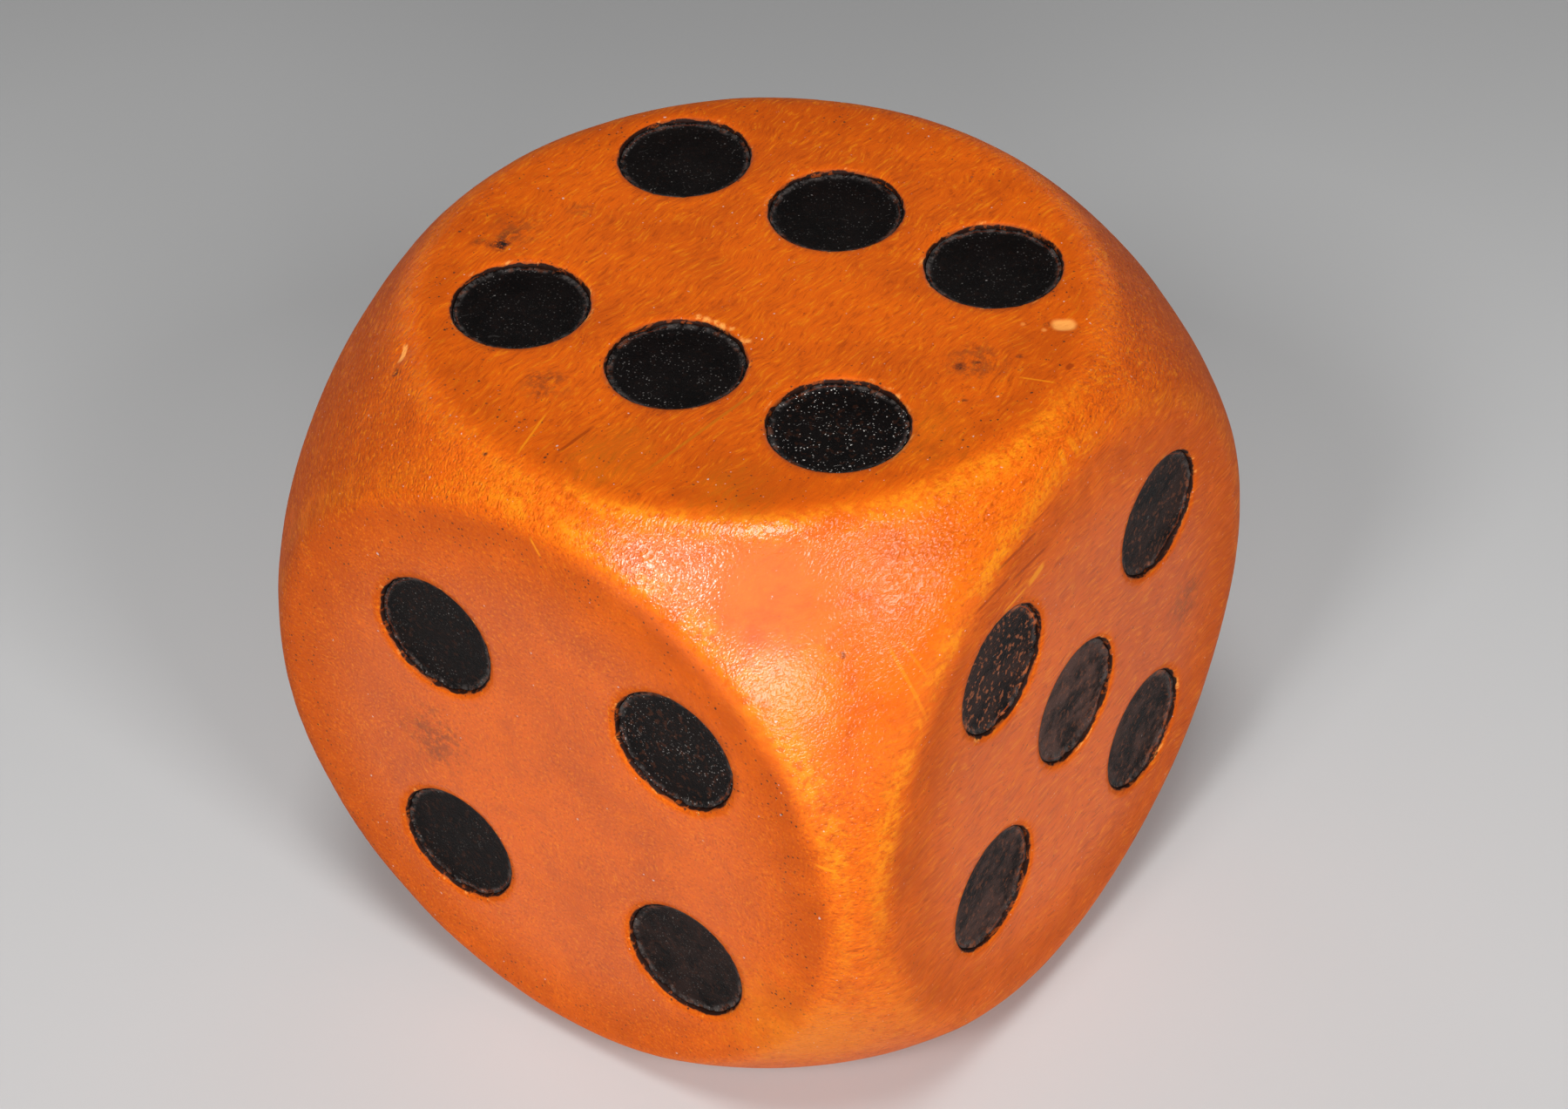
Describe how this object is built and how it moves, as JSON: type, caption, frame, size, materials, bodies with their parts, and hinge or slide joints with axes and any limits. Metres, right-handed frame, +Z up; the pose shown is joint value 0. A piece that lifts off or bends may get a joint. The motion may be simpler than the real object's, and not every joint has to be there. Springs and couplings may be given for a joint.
{
  "type": "wooden die",
  "caption": "Solid wooden die: a cube rounded to a ball, with flat round faces and shallow drilled pips painted black, for rolling in games.",
  "frame": {"origin": "middle of the face with one pip, which the die stands on", "axes": "+Z up through the face with six pips, +X out of the face with five pips, -Y out of the face with four pips"},
  "size_m": [0.03, 0.03, 0.03],
  "materials": {
    "lacquered_wood": "orange stain under a worn clear lacquer",
    "black_paint": "thin dull black paint, worn and dusty"
  },
  "bodies": {
    "root": {"wooden_block": "lacquered_wood", "pip_one_1": "black_paint", "pip_two_1": "black_paint", "pip_two_2": "black_paint", "pip_three_1": "black_paint", "pip_three_2": "black_paint", "pip_three_3": "black_paint", "pip_four_1": "black_paint", "pip_four_2": "black_paint", "pip_four_3": "black_paint", "pip_four_4": "black_paint", "pip_five_1": "black_paint", "pip_five_2": "black_paint", "pip_five_3": "black_paint", "pip_five_4": "black_paint", "pip_five_5": "black_paint", "pip_six_1": "black_paint", "pip_six_2": "black_paint", "pip_six_3": "black_paint", "pip_six_4": "black_paint", "pip_six_5": "black_paint", "pip_six_6": "black_paint"}
  },
  "joints": []
}
